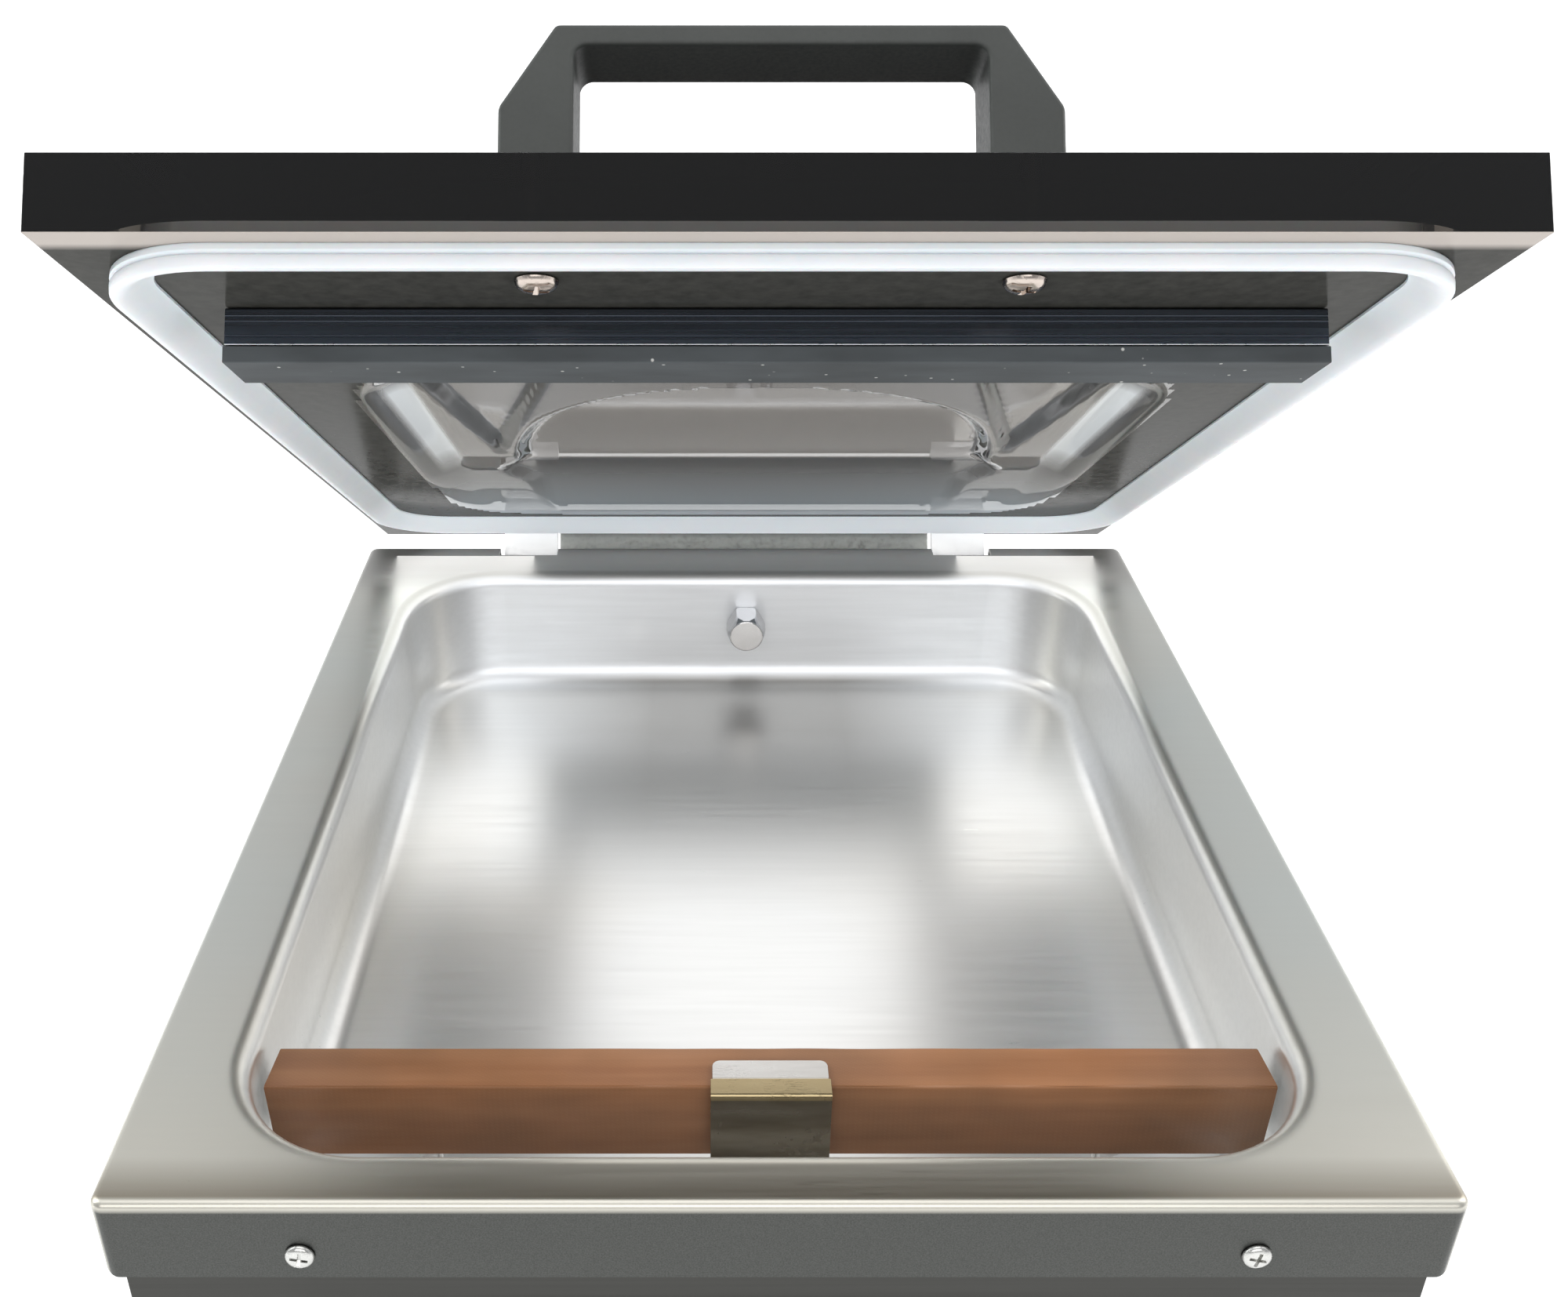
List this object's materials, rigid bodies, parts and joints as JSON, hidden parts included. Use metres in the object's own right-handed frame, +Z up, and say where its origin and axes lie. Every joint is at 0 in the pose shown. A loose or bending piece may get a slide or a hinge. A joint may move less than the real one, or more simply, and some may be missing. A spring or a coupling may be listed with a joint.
{
  "type": "chamber vacuum sealer",
  "caption": "Tabletop chamber vacuum sealer with a sprung smoked lid, pressed steel chamber, lifting seal bar, counter bar, front controls and pump inside.",
  "frame": {"origin": "on the worktop, under the middle of the box around the machine with its lid open", "axes": "+Z up, +Y towards the hinges at the back, +X to the right seen from the front"},
  "size_m": [0.331, 0.4159, 0.4914],
  "materials": {
    "stainless": "satin pressed stainless steel",
    "cabinet_steel": "horizontally brushed stainless steel",
    "smoked_acrylic": "thick smoked acrylic, polished",
    "white_silicone": "white silicone",
    "dark_anodised": "dark anodised",
    "black_rubber": "matt",
    "grey_plastic": "fine moulded grain",
    "ptfe_cloth": "PTFE-coated glass cloth",
    "aluminium": "machined",
    "nichrome": "resistance strip",
    "chrome": "polished",
    "zinc_steel": "satin zinc plate",
    "black_plastic": "fine texture",
    "display_glass": "smoked window",
    "key_plastic": "soft touch",
    "rocker_red": "moulded",
    "dial_white": "white dial in a plated case",
    "clear_lens": "clear",
    "cast_grey": "painted casting",
    "board_green": "solder mask",
    "hose_clear": "translucent tubing"
  },
  "bodies": {
    "body": {"chamber_tub": "stainless", "cabinet_wrap": "cabinet_steel", "rear_panel": "cabinet_steel", "base_plate": "zinc_steel", "foot_front_left": "black_rubber", "foot_front_right": "black_rubber", "foot_rear_left": "black_rubber", "foot_rear_right": "black_rubber", "lip_screw_left": "zinc_steel", "lip_screw_right": "zinc_steel", "vacuum_nozzle": "chrome", "nozzle_nut": "zinc_steel", "vacuum_hose": "hose_clear", "power_inlet": "black_plastic", "control_panel": "black_plastic", "display_window": "display_glass", "rocker_frame": "black_plastic", "gauge_case": "dial_white", "gauge_lens": "clear_lens", "lift_cylinder_left": "cast_grey", "lift_cylinder_right": "cast_grey", "hinge_bracket_left": "zinc_steel", "hinge_bracket_right": "zinc_steel", "hinge_pin_left": "zinc_steel", "hinge_pin_right": "zinc_steel", "lid_spring_left": "zinc_steel", "lid_spring_right": "zinc_steel", "lid_sensor": "black_plastic", "pump_cradle": "zinc_steel", "pump_motor": "cast_grey", "pump_head": "aluminium", "transformer": "cast_grey", "solenoid_valve": "aluminium", "control_board": "board_green"},
    "lid": {"lid_panel": "smoked_acrylic", "lid_gasket": "white_silicone", "counter_bar_holder": "dark_anodised", "counter_bar_rubber": "black_rubber", "handle": "grey_plastic", "handle_screw_left": "chrome", "handle_screw_right": "chrome", "hinge_strap_left": "chrome", "hinge_strap_right": "chrome", "hinge_bridge": "dark_anodised"},
    "seal_bar": {"seal_bar_core": "aluminium", "heating_band": "nichrome", "ptfe_cover": "ptfe_cloth", "lift_pin_left": "chrome", "lift_pin_right": "chrome"},
    "bag_clip": {"bag_clip": "zinc_steel"},
    "key_program": {"key_program": "key_plastic"},
    "key_minus": {"key_minus": "key_plastic"},
    "key_plus": {"key_plus": "key_plastic"},
    "key_stop": {"key_stop": "key_plastic"},
    "power_rocker": {"power_rocker": "rocker_red"},
    "gauge_needle": {"gauge_needle": "black_plastic"},
    "pump_fan": {"pump_fan": "black_plastic"}
  },
  "joints": [
    {"name": "lid_hinge", "type": "hinge", "parent": "body", "child": "lid", "pos_m": [0, 0.16398, 0.2259], "axis": [1, 0, 0], "range_deg": [0, 34.2], "stiffness_Nm_per_rad": 2.6, "springref_deg": -131.78},
    {"name": "seal_bar_lift", "type": "slide", "parent": "body", "child": "seal_bar", "axis": [0, 0, 1], "range_m": [0, 0.0012]},
    {"name": "bag_clip_flex", "type": "hinge", "parent": "seal_bar", "child": "bag_clip", "pos_m": [0, -0.16002, 0.2084], "axis": [1, 0, 0], "range_deg": [0, 4], "stiffness_Nm_per_rad": 0.4, "springref_deg": -1.72},
    {"name": "key_program_press", "type": "slide", "parent": "body", "child": "key_program", "axis": [0, 1, 0], "range_m": [0, 0.0006], "stiffness_N_per_m": 800, "springref_m": -0.0004},
    {"name": "key_minus_press", "type": "slide", "parent": "body", "child": "key_minus", "axis": [0, 1, 0], "range_m": [0, 0.0006], "stiffness_N_per_m": 800, "springref_m": -0.0004},
    {"name": "key_plus_press", "type": "slide", "parent": "body", "child": "key_plus", "axis": [0, 1, 0], "range_m": [0, 0.0006], "stiffness_N_per_m": 800, "springref_m": -0.0004},
    {"name": "key_stop_press", "type": "slide", "parent": "body", "child": "key_stop", "axis": [0, 1, 0], "range_m": [0, 0.0006], "stiffness_N_per_m": 800, "springref_m": -0.0004},
    {"name": "power_rocker_tip", "type": "hinge", "parent": "body", "child": "power_rocker", "pos_m": [0.092, -0.19902, 0.161], "axis": [1, 0, 0], "range_deg": [-14, 0]},
    {"name": "gauge_sweep", "type": "hinge", "parent": "body", "child": "gauge_needle", "pos_m": [-0.082, -0.20332, 0.161], "axis": [0, 1, 0], "range_deg": [0, 270], "stiffness_Nm_per_rad": 0.0002, "springref_deg": -11.46},
    {"name": "pump_fan_spin", "type": "hinge", "parent": "body", "child": "pump_fan", "pos_m": [-0.139, 0.05578, 0.0642], "axis": [1, 0, 0], "continuous": true}
  ]
}
